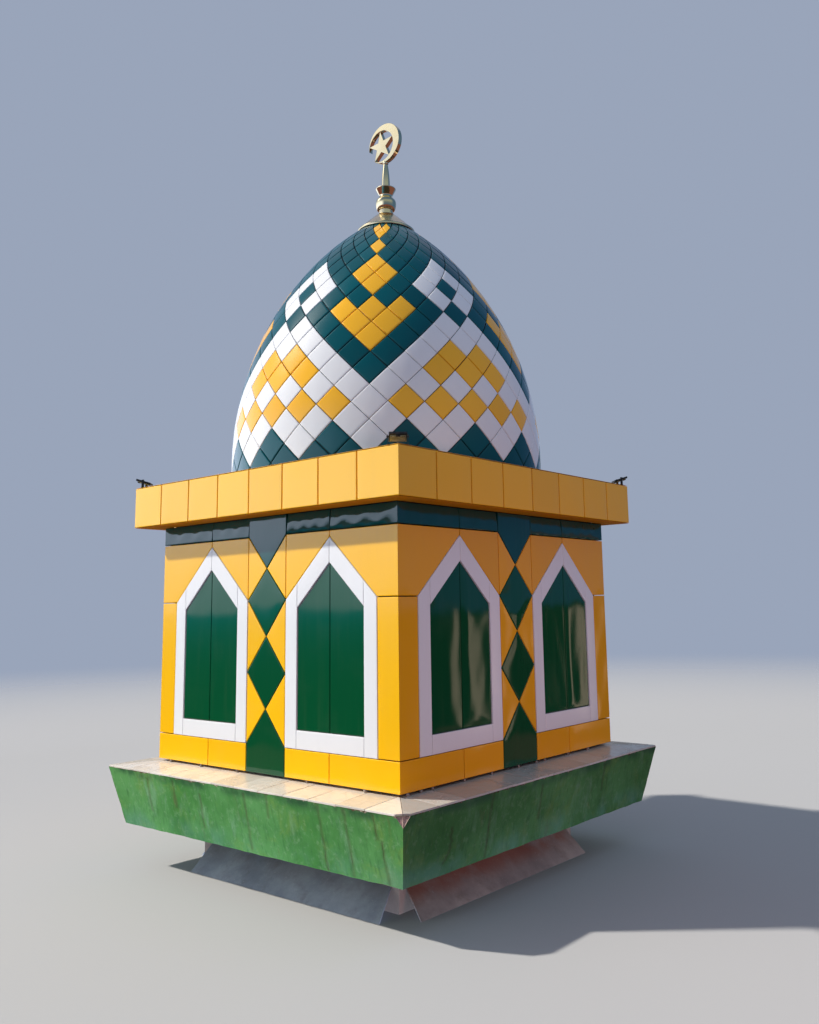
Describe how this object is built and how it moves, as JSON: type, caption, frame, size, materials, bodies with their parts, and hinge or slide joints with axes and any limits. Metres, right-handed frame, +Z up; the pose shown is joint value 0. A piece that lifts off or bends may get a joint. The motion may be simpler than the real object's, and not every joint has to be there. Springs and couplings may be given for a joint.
{
  "type": "mosque roof cupola with dome",
  "caption": "Square mosque roof cupola: a drum clad in enamelled panels with false pointed windows, a tapered ledge, a box cornice and a pointed dome with a crescent finial.",
  "frame": {"origin": "centre of the footprint, at the level where the neck walls and the skirt boards end in the roof", "axes": "+Z up; -Y is the front, the left-hand face in the picture; +X is the right-hand face in the picture"},
  "size_m": [3.028, 3.028, 6.0429],
  "materials": {
    "yellow_enamel": "glossy vitreous enamel, slightly wavy",
    "white_enamel": "glossy vitreous enamel",
    "green_enamel": "glossy vitreous enamel",
    "teal_enamel": "glossy vitreous enamel",
    "painted_concrete": "weathered green paint on concrete",
    "bare_masonry": "grey cement render",
    "cream_tile": "glazed floor tile",
    "cement_board": "matt, stained",
    "polished_gold": "polished, pale gold",
    "lamp_metal": "satin black"
  },
  "bodies": {
    "root": {"neck_wall_front": "bare_masonry", "neck_wall_right": "bare_masonry", "neck_wall_back": "bare_masonry", "neck_wall_left": "bare_masonry", "skirt_board_front": "cement_board", "skirt_board_right": "cement_board", "skirt_board_back": "cement_board", "skirt_board_left": "cement_board", "ledge_front": "painted_concrete", "ledge_right": "painted_concrete", "ledge_back": "painted_concrete", "ledge_left": "painted_concrete", "drum_wall_front": "bare_masonry", "drum_wall_right": "bare_masonry", "drum_wall_back": "bare_masonry", "drum_wall_left": "bare_masonry", "yellow_panels_front": "yellow_enamel", "yellow_panels_right": "yellow_enamel", "yellow_panels_back": "yellow_enamel", "yellow_panels_left": "yellow_enamel", "green_frieze_front": "green_enamel", "green_frieze_right": "green_enamel", "green_frieze_back": "green_enamel", "green_frieze_left": "green_enamel", "window_frames_front": "white_enamel", "window_frames_right": "white_enamel", "window_frames_back": "white_enamel", "window_frames_left": "white_enamel", "window_leaves_front": "green_enamel", "window_leaves_right": "green_enamel", "window_leaves_back": "green_enamel", "window_leaves_left": "green_enamel", "cornice_front": "yellow_enamel", "cornice_right": "yellow_enamel", "cornice_back": "yellow_enamel", "cornice_left": "yellow_enamel", "ledge_tiles": "cream_tile", "roof_slab": "bare_masonry", "dome": "teal_enamel", "finial_cap": "polished_gold", "finial_mast": "polished_gold", "finial_crescent_star": "polished_gold", "floodlight_near": "lamp_metal", "floodlight_right": "lamp_metal", "floodlight_far": "lamp_metal", "floodlight_left": "lamp_metal"}
  },
  "joints": []
}
